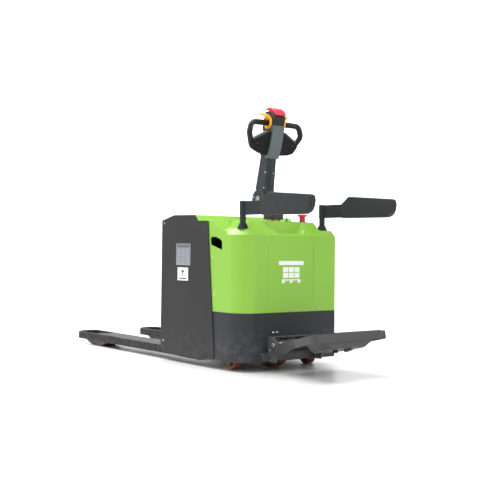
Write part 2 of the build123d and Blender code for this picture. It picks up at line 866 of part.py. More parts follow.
def torsion_springs():
    """Lifting springs on the hinge pin, as plain sleeves."""
    sleeve = rod_x(hinge_y, hinge_z, 8, 150, 17) - rod_x(hinge_y, hinge_z, 0, 160, hinge_pin_r + 1)
    return together(both_sides(sleeve))


def platform_bracket():
    """Bracket on the skirt: two side plates, a slotted cross channel and a low guard plate."""
    outer = platform_arm_x - platform_arm_t - side_gap
    inner = outer - bracket_plate_t
    outline = [(0, 197), (-50, 197), (-94, 150), (-90, 100), (-75, 56), (0, 56)]
    plate = prism_yz(outline, inner, outer)
    plate -= rod_x(hinge_y, hinge_z, inner - 10, outer + 10, hinge_pin_r)
    plates = both_sides(plate)
    back = block((-inner, inner), (-6, 0), (110, 195))
    lip = block((-inner, inner), (-30, -6), (189, 195))
    for x in (-57, 65):
        back -= block((x - 33, x + 33), (-10, 5), (172, 182))
    guard = prism_xz([(-232, 104), (232, 104), (196, 57), (-196, 57)], -5, 0)
    return plates[0] + plates[1] + back + lip + guard


# ---------------------------------------------------------------- fork frame
def side_plate(side):
    """Outer plate of the fork frame; its rear edge slants along the cover."""
    edge = [
        (body_end_y, 71),
        (753, 44),
        (545, 36),
        (391, 36),
        (297, 48),
        (plate_edge_y(48), 48),
        (plate_foot_y, plate_foot_z),
        (316, 849),
        (419, 851),
        (449, lid_z),
        (674, 890),
        (808, 860),
    ]
    low, high = sorted((side * body_half, side * (body_half - side_plate_t)))
    return prism_yz(edge, low, high)


def battery_box():
    """Welded box of the fork frame: side plates, floor, end walls and the crosshead for the ram."""
    inside = body_half - side_plate_t
    floor = block((-inside, inside), (box_rear_y, end_wall_y), (box_floor_z, box_floor_z + 6))
    rear = block((-inside, inside), (box_rear_y, box_rear_y + 6), (box_floor_z, 780))
    end_wall = block((-inside, inside), (end_wall_y, end_wall_y + end_wall_t), (fork_top_z, 850))
    box = floor + rear + end_wall + side_plate(-1) + side_plate(1)
    box += block((-70, 70), (ram_y - 30, box_rear_y), (ram_head_z, ram_head_z + 20))
    for x in (-rail_x, rail_x):
        box += block((x - 36, x + 36), (rail_block_y, box_rear_y), (180, 700))
    for x in (-250, 250):
        lug = block((x - 6, x + 6), (lid_hinge_y - 3, lid_hinge_y + 3), (848, lid_hinge_z))
        lug += rod_x(lid_hinge_y, lid_hinge_z, x - 6, x + 6, 8)
        box += lug - rod_x(lid_hinge_y, lid_hinge_z, x - 10, x + 10, lid_pin_r)
    return box


def guide_shoes():
    """Nylon shoes that wrap the rails."""
    shoes = []
    rail_y = bulkhead_y + bulkhead_t
    for z in (200, 620):
        shoe = block((rail_x - 32, rail_x + 32), (rail_y + 6, rail_block_y), (z, z + 60))
        shoe -= block(
            (rail_x - 20.5, rail_x + 20.5), (rail_y, rail_y + rail_t + 0.5), (z - 5, z + 65)
        )
        shoes += both_sides(shoe)
    return together(shoes)


def battery():
    case = block((-340, 340), (box_rear_y + 12, end_wall_y - 8), (box_floor_z + 7, 640))
    return chamfer(case.edges().group_by(Axis.Z)[-1], 12)


def battery_lid():
    """Green lid with a step down to the deck of the cover."""
    t = lid_t
    top = [(cover_end_y + 6, deck_z), (419, deck_z), (449, lid_z), (676, lid_z), (792, 862)]
    under = [(792, 862 - t), (676, lid_z - t), (451, lid_z - t), (421, deck_z - t)]
    under.append((cover_end_y + 6, deck_z - t))
    half = cover_half
    lid = prism_yz(top + under, -half, half)
    for x in (-230, 230):
        leaf = [(780, 858), (786, 862), (lid_hinge_y, lid_hinge_z + 6), (lid_hinge_y, lid_hinge_z - 6)]
        knuckle = prism_yz(leaf, x - 12, x + 12)
        knuckle += rod_x(lid_hinge_y, lid_hinge_z, x - 12, x + 12, 8)
        lid += knuckle - rod_x(lid_hinge_y, lid_hinge_z, x - 20, x + 20, lid_pin_r + running_fit)
    return lid


def frame_fasteners():
    """Screws in the side plates, pins of the lid hinge and pivot pins of the load arms."""
    heads = []
    for y, z in ((780, 842), (780, 120)):
        heads += both_sides(rod_x(y, z, -body_half - 2, -body_half, 6))
    heads += both_sides(rod_x(lid_hinge_y, lid_hinge_z, 214, 260, lid_pin_r))
    half = fork_width / 2
    heads += both_sides(rod_x(load_pivot_y, load_pivot_z, fork_x - half, fork_x + half, load_pin_r))
    return together(heads)


def data_plate():
    """Blank riveted plate on the left side."""
    plate = block((-body_half - 1, -body_half), (491, 643), (587, 716))
    return fillet(plate.edges().filter_by(Axis.X), 4)


def fork_outline(inset, tip_y, half):
    """Plan outline of a fork, with a rounded tip."""
    face = Rectangle(2 * half, tip_y - fork_heel_y, align=(Align.CENTER, Align.MIN))
    return Pos(0, fork_heel_y) * fillet(face.vertices().sort_by(Axis.Y)[-2:], fork_tip_r - inset)


def forks():
    """Two pressed channels, open below, with the roller openings near their tips."""
    half = fork_width / 2
    height = fork_top_z - fork_bottom_z
    channel = extrude(Pos(0, 0, fork_bottom_z) * fork_outline(0, fork_tip_y, half), height)
    top_edges = channel.edges().group_by(Axis.Z)[-1]
    channel = fillet([e for e in top_edges if e.center().Y > fork_heel_y + 1], fork_edge_r)
    room = fork_outline(fork_wall, fork_tip_y - fork_wall, half - fork_wall)
    channel -= extrude(Pos(0, 0, fork_bottom_z - 1) * room, height + 1 - fork_wall)
    open_low = fork_tip_y - opening_rim - opening_length
    opening = Rectangle(2 * (half - opening_rim), opening_length, align=(Align.CENTER, Align.MIN))
    opening = Pos(0, open_low) * fillet(opening.vertices().sort_by(Axis.Y)[-2:], fork_tip_r - opening_rim)
    channel -= extrude(Pos(0, 0, fork_top_z - 30) * opening, 60)
    channel -= rod_x(load_pivot_y, load_pivot_z, -half - 5, half + 5, load_pin_r)
    under_box = (fork_heel_y - 5, body_end_y - 2)
    channel -= block((-half - 1, half + 1), under_box, (fork_top_z - fork_heel_step, fork_top_z + 1))
    return together(*[Pos(x, 0, 0) * channel for x in (-fork_x, fork_x)])


def load_arm(side):
    """Two links with their cross tube, and the bolt that the bogie rocks on."""
    middle = side * fork_x
    along = Vector(0, bogie_y - load_pivot_y, bogie_z - load_pivot_z).normalized()
    up = Vector(0, -along.Z, along.Y)
    arm = None
    for low in (-link_in_x - link_t, link_in_x):
        start = Vector(middle + low, load_pivot_y, load_pivot_z)
        end = Vector(middle + low, bogie_y, bogie_z)
        corners = [start + up * 14, end + up * 13, end - up * 13, start - up * 14]
        link = prism([tuple(c) for c in corners], (1, 0, 0), link_t)
        link += rod_x(load_pivot_y, load_pivot_z, start.X, start.X + link_t, 17)
        link += rod_x(bogie_y, bogie_z, end.X, end.X + link_t, 15)
        arm = link if arm is None else arm + link
    arm += rod_x(load_pivot_y, load_pivot_z, middle - link_in_x, middle + link_in_x, 17)
    arm -= rod_x(load_pivot_y, load_pivot_z, middle - 100, middle + 100, load_pin_r + running_fit)
    reach = link_in_x + link_t + 1
    return arm + rod_x(bogie_y, bogie_z, middle - reach, middle + reach, bogie_pin_r)


def bogie(side):
    """Two shoe-shaped plates, a spacer and the roller axles."""
    middle = side * fork_x
    shoe = [(-172, 4), (-136, -15), (-78, -33), (66, -33), (118, -17), (156, 2)]
    shoe += [(150, 16), (70, 33), (-70, 33), (-160, 18)]
    bogie_body = None
    for low in (-bogie_plate_x - bogie_plate_t, bogie_plate_x):
        outline = [(bogie_y + y, bogie_z + z) for y, z in shoe]
        plate = prism_yz(outline, middle + low, middle + low + bogie_plate_t)
        bogie_body = plate if bogie_body is None else bogie_body + plate
    bogie_body += rod_x(bogie_y, bogie_z, middle - bogie_plate_x, middle + bogie_plate_x, 14)
    bogie_body -= rod_x(bogie_y, bogie_z, middle - 100, middle + 100, bogie_pin_r + running_fit)
    for y in (bogie_y - roller_pitch / 2, bogie_y + roller_pitch / 2):
        bogie_body += rod_x(y, bogie_z, middle - bogie_plate_x, middle + bogie_plate_x, roller_pin_r)
    return bogie_body


def load_roller(side, end):
    middle = side * fork_x
    y = bogie_y + end * roller_pitch / 2
    half = roller_w / 2
    roller = rod_x(y, bogie_z, middle - half, middle + half, roller_r)
    roller = chamfer(roller.edges().filter_by(GeomType.CIRCLE), 3)
    return roller - rod_x(y, bogie_z, middle - 100, middle + 100, roller_pin_r + running_fit)


# ---------------------------------------------------------------- casters


def caster_fork(side):
    """Swivel stem, top plate and two cheeks, trailing towards the forks."""
    x, y = side * caster_x, caster_y
    wheel_y = y + caster_trail
    stem = rod_z(x, y, 108, caster_plate_z + caster_plate_t + 6, caster_stem_r - running_fit)
    plate = rod_z(x, y, 104, caster_plate_z - 1, 30)
    low = caster_w / 2 + 2
    cheeks = None
    for near in (-low - 5, low):
        outline = [(y - 24, 112), (y + 30, 112), (wheel_y + 30, 52)]
        outline += [(wheel_y + 12, 24), (wheel_y - 12, 24), (wheel_y - 30, 52)]
        cheek = prism_yz(outline, x + near, x + near + 5)
        cheeks = cheek if cheeks is None else cheeks + cheek
    bridge = block((x - low - 5, x + low + 5), (y - 24, y + 30), (104, 112))
    bridge &= rod_z(x, y, 90, 130, 40)
    axle = rod_x(wheel_y, caster_r, x - low, x + low, caster_axle_r)
    return stem + plate + cheeks + bridge + axle


def caster_wheel(side):
    x = side * caster_x
    y = caster_y + caster_trail
    half = caster_w / 2
    wheel = rod_x(y, caster_r, x - half, x + half, caster_r)
    wheel = fillet(wheel.edges().filter_by(GeomType.CIRCLE), 4)
    return wheel - rod_x(y, caster_r, x - 100, x + 100, caster_axle_r + running_fit)


# ---------------------------------------------------------------- every node
one_of_a_kind = [
    drive_frame,
    skirt,
    rear_cover,
    grab_pockets,
    chassis_screws,
    column_bearings,
    arm_posts,
    post_boots,
    platform_bracket,
    hinge_pin,
    switch_bases,
    status_gauge,
    lift_cylinder,
    hydraulic_unit,
    steer_column,
    gearbox,
    drive_motor,
    tiller_pin,
    drive_tyre,
    drive_hub,
    tiller_arm,
    tiller_screws,
    head_housing,
    head_cover,
    handle_loops,
    wing_plates,
    thumb_wings,
    belly_button,
    lift_rocker,
    horn_button,
    estop_knob,
    ignition_key,
    platform_tray,
    platform_arms,
    platform_mat,
    torsion_springs,
    battery_box,
    forks,
    guide_shoes,
    battery,
    lift_ram,
    frame_fasteners,
    data_plate,
    battery_lid,
]
one_on_each_side = [arm_bracket, arm_pad, load_arm, bogie, caster_fork, caster_wheel]

nodes = {make.__name__: make() for make in one_of_a_kind}
for word, side in (("left", -1), ("right", 1)):
    for make in one_on_each_side:
        nodes[f"{make.__name__}_{word}"] = make(side)
    nodes[f"heel_roller_{word}"] = load_roller(side, -1)
    nodes[f"tip_roller_{word}"] = load_roller(side, 1)

os.makedirs("parts", exist_ok=True)
for name, shape in nodes.items():
    export_step(shape.moved(to_origin), f"parts/{name}.step")
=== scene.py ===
import json
import math

import bmesh
import bpy
from mathutils import Matrix, Vector


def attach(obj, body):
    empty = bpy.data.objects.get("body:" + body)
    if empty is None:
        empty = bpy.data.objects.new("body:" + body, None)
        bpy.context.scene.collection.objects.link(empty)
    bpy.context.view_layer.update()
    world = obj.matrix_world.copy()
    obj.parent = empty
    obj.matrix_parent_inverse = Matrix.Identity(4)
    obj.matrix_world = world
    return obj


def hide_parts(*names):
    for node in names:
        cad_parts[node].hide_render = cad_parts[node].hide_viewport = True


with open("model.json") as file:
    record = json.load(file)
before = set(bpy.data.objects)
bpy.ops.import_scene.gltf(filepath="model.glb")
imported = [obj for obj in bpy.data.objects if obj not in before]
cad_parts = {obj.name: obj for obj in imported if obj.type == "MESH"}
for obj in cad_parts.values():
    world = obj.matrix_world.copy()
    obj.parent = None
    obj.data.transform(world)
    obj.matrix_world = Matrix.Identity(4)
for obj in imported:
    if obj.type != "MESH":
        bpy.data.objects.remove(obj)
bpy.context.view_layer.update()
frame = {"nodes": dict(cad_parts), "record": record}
record = frame["record"]
body_of = {n: body for body, ns in record["behaviour"]["bodies"].items() for n in ns}
scene = bpy.context.scene

# ---------------------------------------------------------------- camera
eye = Vector((-3.3754, -4.6735, 0.679))

body_rear_y = -0.741
side_x = 0.367
look_turn = math.radians(37.36)
look_up = math.radians(0.66)
look_roll = math.radians(0.6)


def make_camera():
    """The camera, placed at the eye and turned by the three look angles."""
    data = bpy.data.cameras.new("camera")
    data.lens = 67.5
    data.sensor_width = 36
    data.clip_end = 100
    camera = bpy.data.objects.new("camera", data)
    scene.collection.objects.link(camera)
    ahead = Vector((
        math.sin(look_turn) * math.cos(look_up),
        math.cos(look_turn) * math.cos(look_up),
        math.sin(look_up),
    ))
    level = Vector((math.cos(look_turn), -math.sin(look_turn), 0))
    above = level.cross(ahead)
    right = level * math.cos(look_roll) + above * math.sin(look_roll)
    up = above * math.cos(look_roll) - level * math.sin(look_roll)
    turn = Matrix((right, up, -ahead)).transposed()
    camera.matrix_world = Matrix.Translation(eye) @ turn.to_4x4()
    scene.camera = camera


make_camera()


# ---------------------------------------------------------------- node helpers
def new_group(name, inputs, outputs):
    """A shader node group with named sockets, each given as (name, kind, default)."""
    tree = bpy.data.node_groups.new(name, "ShaderNodeTree")
    for label, kind, default in inputs:
        socket = tree.interface.new_socket(name=label, in_out="INPUT", socket_type=kind)
        socket.default_value = default
    for label, kind in outputs:
        tree.interface.new_socket(name=label, in_out="OUTPUT", socket_type=kind)
    return tree, tree.nodes.new("NodeGroupInput"), tree.nodes.new("NodeGroupOutput")


def add(tree, kind, settings=None, **values):
    """A node with its settings and input values; a value that is a socket is linked."""
    node = tree.nodes.new(kind)
    for key, value in (settings or {}).items():
        setattr(node, key, value)
    for key, value in values.items():
        name = key.replace("_", " ")
        socket = node.inputs[int(key[1:])] if key[0] == "i" and key[1:].isdigit() else node.inputs[name]
        if isinstance(value, bpy.types.NodeSocket):
            tree.links.new(value, socket)
        else:
            socket.default_value = value
    return node


NUMBER, COLOUR, VECTOR = "NodeSocketFloat", "NodeSocketColor", "NodeSocketVector"


def grain_group():
    """Fine moulded or sprayed grain: a height for bump and a fleck for roughness."""
    tree, given, out = new_group(
        "fine_grain",
        [("Scale", NUMBER, 600.0), ("Detail", NUMBER, 3.0), ("Stretch", VECTOR, (1, 1, 1))],
        [("Height", NUMBER), ("Fleck", NUMBER)],
    )
    place = add(tree, "ShaderNodeTexCoord")
    mapped = add(tree, "ShaderNodeMapping", Vector=place.outputs["Object"], Scale=given.outputs["Stretch"])
    fine = add(
        tree, "ShaderNodeTexNoise", Vector=mapped.outputs[0],
        Scale=given.outputs["Scale"], Detail=given.outputs["Detail"], Roughness=0.6,
    )
    cells = add(tree, "ShaderNodeTexVoronoi", Vector=mapped.outputs[0], Scale=given.outputs["Scale"])
    both = add(
        tree, "ShaderNodeMath", {"operation": "ADD"}, i0=fine.outputs[0], i1=cells.outputs["Distance"]
    )
    tree.links.new(both.outputs[0], out.inputs["Height"])
    tree.links.new(fine.outputs[0], out.inputs["Fleck"])
    return tree


def mottle_group():
    """Slow, faint change of tone over a surface, from one noise with six levels of detail."""
    tree, given, out = new_group(
        "slow_mottle",
        [("Colour", COLOUR, (0.5, 0.5, 0.5, 1)), ("Strength", NUMBER, 0.08), ("Scale", NUMBER, 6.0)],
        [("Colour", COLOUR), ("Shade", NUMBER)],
    )
    place = add(tree, "ShaderNodeTexCoord")
    slow = add(
        tree, "ShaderNodeTexNoise", Vector=place.outputs["Object"],
        Scale=given.outputs["Scale"], Detail=6.0, Roughness=0.55,
    )
    centred = add(tree, "ShaderNodeMath", {"operation": "SUBTRACT"}, i0=slow.outputs[0], i1=0.5)
    swing = add(
        tree, "ShaderNodeMath", {"operation": "MULTIPLY_ADD"},
        i0=centred.outputs[0], i1=given.outputs["Strength"], i2=1.0,
    )
    tinted = add(
        tree, "ShaderNodeVectorMath", {"operation": "SCALE"},
        i0=given.outputs["Colour"], Scale=swing.outputs[0],
    )
    tree.links.new(tinted.outputs[0], out.inputs["Colour"])
    tree.links.new(slow.outputs[0], out.inputs["Shade"])
    return tree


def edge_group():
    """Where edges are rubbed: the bent normal of a bevel against the flat one, broken up by noise."""
    tree, given, out = new_group(
        "rubbed_edges",
        [("Radius", NUMBER, 0.003), ("Amount", NUMBER, 0.5), ("Break Up", NUMBER, 40.0)],
        [("Mask", NUMBER)],
    )
    shape = add(tree, "ShaderNodeNewGeometry")
    round_edge = add(tree, "ShaderNodeBevel", {"samples": 4}, Radius=given.outputs["Radius"])
    along = add(
        tree, "ShaderNodeVectorMath", {"operation": "DOT_PRODUCT"},
        i0=shape.outputs["Normal"], i1=round_edge.outputs[0],
    )
    bend = add(tree, "ShaderNodeMath", {"operation": "SUBTRACT"}, i0=1.0, i1=along.outputs["Value"])
    place = add(tree, "ShaderNodeTexCoord")
    patches = add(
        tree, "ShaderNodeTexNoise",
        Vector=place.outputs["Object"], Scale=given.outputs["Break Up"], Detail=5.0,
    )
    keep = add(
        tree, "ShaderNodeMapRange",
        Value=patches.outputs[0], From_Min=0.45, From_Max=0.7, To_Min=0.2, To_Max=1.0,
    )
    strong = add(tree, "ShaderNodeMath", {"operation": "MULTIPLY"}, i0=bend.outputs[0], i1=keep.outputs[0])
    scaled = add(
        tree, "ShaderNodeMath", {"operation": "MULTIPLY", "use_clamp": True},
        i0=strong.outputs[0], i1=given.outputs["Amount"],
    )
    tree.links.new(scaled.outputs[0], out.inputs["Mask"])
    return tree


def dust_group():
    """Pale dust: on faces that look up, and as splashes near the floor."""
    tree, given, out = new_group(
        "floor_dust",
        [("Top", NUMBER, 0.1), ("Splash", NUMBER, 0.2), ("Height", NUMBER, 0.25)],
        [("Mask", NUMBER)],
    )
    shape = add(tree, "ShaderNodeNewGeometry")
    facing = add(tree, "ShaderNodeSeparateXYZ", Vector=shape.outputs["Normal"])
    upward = add(tree, "ShaderNodeMapRange", Value=facing.outputs["Z"], From_Min=0.5, From_Max=1.0)
    place = add(tree, "ShaderNodeTexCoord")
    apart = add(tree, "ShaderNodeSeparateXYZ", Vector=place.outputs["Object"])
    low = add(
        tree, "ShaderNodeMapRange", Value=apart.outputs["Z"],
        From_Min=0.0, From_Max=given.outputs["Height"], To_Min=1.0, To_Max=0.0,
    )
    spots = add(
        tree, "ShaderNodeTexNoise", Vector=place.outputs["Object"], Scale=26.0, Detail=8.0, Roughness=0.65
    )
    patchy = add(tree, "ShaderNodeMapRange", Value=spots.outputs[0], From_Min=0.42, From_Max=0.72)
    times = {"operation": "MULTIPLY"}
    top = add(tree, "ShaderNodeMath", times, i0=upward.outputs[0], i1=given.outputs["Top"])
    near = add(tree, "ShaderNodeMath", times, i0=low.outputs[0], i1=given.outputs["Splash"])
    both = add(tree, "ShaderNodeMath", {"operation": "ADD"}, i0=top.outputs[0], i1=near.outputs[0])
    mask = add(
        tree, "ShaderNodeMath", {"operation": "MULTIPLY", "use_clamp": True},
        i0=both.outputs[0], i1=patchy.outputs[0],
    )
    tree.links.new(mask.outputs[0], out.inputs["Mask"])
    return tree


fine_grain = grain_group()
slow_mottle = mottle_group()
rubbed_edges = edge_group()
floor_dust = dust_group()
dust_colour = (0.42, 0.40, 0.36, 1)


def group_node(tree, group, **values):
    node = tree.nodes.new("ShaderNodeGroup")
    node.node_tree = group
    for key, value in values.items():
        socket = node.inputs[key.replace("_", " ")]
        if isinstance(value, bpy.types.NodeSocket):
            tree.links.new(value, socket)
        else:
            socket.default_value = value
    return node


def mixed(tree, mask, first, second):
    node = tree.nodes.new("ShaderNodeMix")
    node.data_type = "RGBA"
    tree.links.new(mask, node.inputs["Factor"])
    for socket, value in ((node.inputs[6], first), (node.inputs[7], second)):
        if isinstance(value, bpy.types.NodeSocket):
            tree.links.new(value, socket)
        else:
            socket.default_value = value
    return node.outputs[2]


def finish(
    name, colour, rough=0.5, rough_swing=0.15, metal=0.0, grain=600.0, depth=0.00005, detail=3.0,
    mottle=0.1, mottle_scale=6.0, wear=0.0, wear_colour=(0.5, 0.5, 0.5), wear_radius=0.003,
    top_dust=0.0, splash=0.0, coat=0.0, coat_rough=0.15, sheen=0.0, stretch=(1, 1, 1), specular=0.5,
):
    """A worn, grained material from the shared groups, with its own values."""
    material = bpy.data.materials.new(name)
    material.use_nodes = True
    tree = material.node_tree
    shader = tree.nodes["Principled BSDF"]
    shade = group_node(tree, slow_mottle, Colour=(*colour, 1), Strength=mottle, Scale=mottle_scale)
    surface = shade.outputs["Colour"]
    if wear:
        edges = group_node(tree, rubbed_edges, Radius=wear_radius, Amount=wear)
        surface = mixed(tree, edges.outputs[0], surface, (*wear_colour, 1))
    if top_dust or splash:
        dust = group_node(tree, floor_dust, Top=top_dust, Splash=splash)
        surface = mixed(tree, dust.outputs[0], surface, dust_colour)
    tree.links.new(surface, shader.inputs["Base Color"])
    pits = group_node(tree, fine_grain, Scale=grain, Detail=detail, Stretch=stretch)
    swing = add(
        tree, "ShaderNodeMapRange", Value=pits.outputs["Fleck"], From_Min=0.3, From_Max=0.7,
        To_Min=rough - rough_swing / 2, To_Max=rough + rough_swing / 2,
    )
    tree.links.new(swing.outputs[0], shader.inputs["Roughness"])
    bump = add(tree, "ShaderNodeBump", Strength=1.0, Distance=depth, Height=pits.outputs["Height"])
    tree.links.new(bump.outputs[0], shader.inputs["Normal"])
    shader.inputs["Metallic"].default_value = metal
    shader.inputs["Coat Weight"].default_value = coat
    shader.inputs["Coat Roughness"].default_value = coat_rough
    shader.inputs["Sheen Weight"].default_value = sheen
    shader.inputs["Specular IOR Level"].default_value = specular
    return material


green_plastic = finish(
    "green_plastic", (0.236, 0.485, 0.046), rough=0.38, grain=900, depth=0.00001, mottle=0.05,
    coat=0.4, coat_rough=0.22, top_dust=0.03, specular=0.4,
)
charcoal_paint = finish(
    "charcoal_paint", (0.0245, 0.0245, 0.026), rough=0.55, grain=1100, depth=0.00006, mottle=0.16,
    wear=0.3, wear_colour=(0.16, 0.16, 0.16), top_dust=0.12, splash=0.1, specular=0.3,
)
skirt_paint = finish(
    "skirt_paint", (0.0255, 0.0285, 0.033), rough=0.5, grain=1100, depth=0.00005, mottle=0.14,
    wear=0.3, wear_colour=(0.15, 0.15, 0.15), splash=0.18, specular=0.3,
)
slate_paint = finish(
    "slate_paint", (0.026, 0.035, 0.037), rough=0.42, grain=1300, depth=0.00004, mottle=0.12,
    wear=0.5, wear_colour=(0.20, 0.22, 0.23), top_dust=0.06, specular=0.35,
)
fork_paint = finish(
    "fork_paint", (0.016, 0.0165, 0.018), rough=0.5, grain=900, depth=0.00006, mottle=0.3,
    wear=1.8, wear_colour=(0.40, 0.40, 0.41), wear_radius=0.004, top_dust=0.06, splash=0.12, specular=0.18,
)
platform_paint = finish(
    "platform_paint", (0.060, 0.060, 0.063), rough=0.4, grain=900, depth=0.00005, mottle=0.2,
    wear=1.2, wear_colour=(0.5, 0.5, 0.5), top_dust=0.1, splash=0.1, specular=0.4,
)
bracket_paint = finish(
    "bracket_paint", (0.075, 0.08, 0.084), rough=0.42, grain=900, depth=0.00005, mottle=0.2,
    wear=3.0, wear_colour=(0.55, 0.56, 0.57), splash=0.15, specular=0.35,
)
chassis_black = finish(
    "chassis_black", (0.014, 0.014, 0.015), rough=0.45, grain=700, depth=0.00008, mottle=0.3,
    wear=0.8, wear_colour=(0.22, 0.22, 0.22), splash=0.3, top_dust=0.12, specular=0.35,
)
arm_paint = finish(
    "arm_paint", (0.016, 0.022, 0.0235), rough=0.45, grain=1300, depth=0.00004, mottle=0.12,
    wear=0.4, wear_colour=(0.12, 0.13, 0.14), top_dust=0.05, specular=0.3,
)
foam_skin = finish(
    "foam_skin", (0.0105, 0.0155, 0.0165), rough=0.6, grain=900, depth=0.00016, detail=5, mottle=0.12,
    sheen=0.1, top_dust=0.05, specular=0.3,
)
loop_plastic = finish(
    "loop_plastic", (0.005, 0.0053, 0.006), rough=0.4, grain=1200, depth=0.00005, mottle=0.15, specular=0.35
)
plate_black = finish(
    "plate_black", (0.006, 0.0063, 0.007), rough=0.5, grain=1300, depth=0.00004, mottle=0.15, specular=0.2
)
web_grey = finish(
    "web_grey", (0.075, 0.078, 0.084), rough=0.4, grain=1300, depth=0.00004, mottle=0.12, specular=0.35
)
shell_plastic = finish(
    "shell_plastic", (0.013, 0.0135, 0.015), rough=0.36, grain=1400, depth=0.00004, mottle=0.15, specular=0.4
)
grey_plastic = finish(
    "grey_plastic", (0.105, 0.128, 0.136), rough=0.42, grain=1200, depth=0.00003, mottle=0.08, wear=0.25,
    wear_colour=(0.3, 0.34, 0.35), specular=0.35,
)
yellow_plastic = finish(
    "yellow_plastic", (0.80, 0.35, 0.010), rough=0.3, grain=900, depth=0.00001, mottle=0.1, coat=0.3
)
red_plastic = finish(
    "red_plastic", (0.72, 0.022, 0.05), rough=0.28, grain=900, depth=0.00001, mottle=0.08, coat=0.4
)
orange_tread = finish(
    "orange_tread", (0.26, 0.062, 0.018), rough=0.45, grain=420, depth=0.00012, mottle=0.35, mottle_scale=22,
    splash=0.25, top_dust=0.05, specular=0.35,
)
zinc_plate = finish(
    "zinc_plate", (0.60, 0.61, 0.62), rough=0.3, rough_swing=0.2, metal=1.0, grain=300, depth=0.00003,
    mottle=0.3, mottle_scale=30, wear=0.2, wear_colour=(0.8, 0.8, 0.8),
)
chrome_plate = finish(
    "chrome_plate", (0.82, 0.83, 0.85), rough=0.14, rough_swing=0.08, metal=1.0, grain=500, depth=0.00001,
    mottle=0.1, mottle_scale=20,
)
dark_screw = finish(
    "dark_screw", (0.10, 0.10, 0.105), rough=0.35, metal=0.8, grain=500, depth=0.00002, mottle=0.2,
    mottle_scale=30,
)
cast_iron = finish(
    "cast_iron", (0.06, 0.06, 0.063), rough=0.6, metal=0.4, grain=380, depth=0.0003, mottle=0.35,
    wear=0.6, wear_colour=(0.3, 0.3, 0.3), splash=0.3,
)
brass_ring = finish(
    "brass_ring", (0.62, 0.42, 0.18), rough=0.3, metal=1.0, grain=500, depth=0.00003, mottle=0.3,
    mottle_scale=30,
)
rib_rubber = finish(
    "rib_rubber", (0.013, 0.013, 0.014), rough=0.7, grain=500, depth=0.00012, mottle=0.25, top_dust=0.06,
    specular=0.3,
)
plate_foil = finish(
    "plate_foil", (0.30, 0.32, 0.35), rough=0.35, metal=0.2, grain=900, depth=0.00001, mottle=0.08,
    stretch=(1, 0.05, 1),
)
print_white = finish("print_white", (0.80, 0.84, 0.80), rough=0.45, grain=800, depth=0.00001, mottle=0.05)
print_dark = finish("print_dark", (0.02, 0.02, 0.022), rough=0.5, grain=800, depth=0.00001, mottle=0.1)
print_grey = finish("print_grey", (0.11, 0.12, 0.13), rough=0.5, grain=800, depth=0.00001, mottle=0.1)
nylon = finish("nylon", (0.62, 0.61, 0.55), rough=0.5, grain=500, depth=0.00005, mottle=0.15)
gauge_glass = finish(
    "gauge_glass", (0.012, 0.013, 0.015), rough=0.12, rough_swing=0.04, grain=900, depth=0.000004, coat=0.6,
    coat_rough=0.05,
)


# ---------------------------------------------------------------- making pieces
def new_piece(name, mesh, finishes, body, stands_for=()):
    """A finished mesh as an object that rides on a body and may stand for CAD nodes."""
    piece = bpy.data.objects.new(name, mesh)
    scene.collection.objects.link(piece)
    mesh.materials.clear()
    for material in finishes if isinstance(finishes, (list, tuple)) else [finishes]:
        mesh.materials.append(material)
    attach(piece, body)
    if stands_for:
        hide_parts(*stands_for)
    return piece


def baked_mesh(source, name):
    """The evaluated mesh of an object, as plain data; the object is removed."""
    bpy.context.view_layer.update()
    plain = bpy.data.meshes.new_from_object(source.evaluated_get(bpy.context.evaluated_depsgraph_get()))
    plain.name = name
    bpy.data.objects.remove(source)
    return plain


def merged_copy(node, weld=0.00002, flat_deg=0.6):
    """The CAD node's mesh with its corners merged and its flat faces made whole."""
    shell = bmesh.new()
    shell.from_mesh(frame["nodes"][node].data)
    bmesh.ops.remove_doubles(shell, verts=shell.verts, dist=weld)
    bmesh.ops.dissolve_limit(
        shell, angle_limit=math.radians(flat_deg), verts=shell.verts, edges=shell.edges
    )
    return shell


def eased(name, shell, ease, segments=2, sharp_deg=28):
    """A mesh with its sharp edges rounded by a bevel, and shaded by face area."""
    mesh = bpy.data.meshes.new(name)
    shell.to_mesh(mesh)
    shell.free()
    mesh.materials.clear()
    rough = bpy.data.objects.new(name + "_rough", mesh)
    scene.collection.objects.link(rough)
    if ease:
        bevel = rough.modifiers.new("ease", "BEVEL")
        bevel.width = ease
        bevel.segments = segments
        bevel.limit_method = "ANGLE"
        bevel.angle_limit = math.radians(sharp_deg)
        bevel.use_clamp_overlap = False
        bevel.miter_outer = "MITER_ARC"
    mesh.shade_smooth()
    weighted = rough.modifiers.new("shade", "WEIGHTED_NORMAL")
    weighted.keep_sharp = True
    weighted.weight = 90
    return baked_mesh(rough, name)


def refine(node, material, ease=0.0012, segments=2):
    """The CAD node again, with eased edges and its finish."""
    name = node + "_shape"
    mesh = eased(name, merged_copy(node), ease, segments)
    return new_piece(name, mesh, material, body_of[node], [node])


def moulded(node, material, voxel=0.0016, rounds=6):
    """The CAD node remeshed fine and relaxed, so that every edge is round like a moulding."""
    shell = merged_copy(node)
    mesh = bpy.data.meshes.new(node)
    shell.to_mesh(mesh)
    shell.free()
    rough = bpy.data.objects.new(node + "_rough", mesh)
    scene.collection.objects.link(rough)
    grid = rough.modifiers.new("grid", "REMESH")
    grid.mode = "VOXEL"
    grid.voxel_size = voxel
    relax = rough.modifiers.new("relax", "SMOOTH")
    relax.iterations = rounds
    relax.factor = 0.5
    result = baked_mesh(rough, node + "_shape")
    result.shade_smooth()
    return new_piece(node + "_shape", result, material, body_of[node], [node])


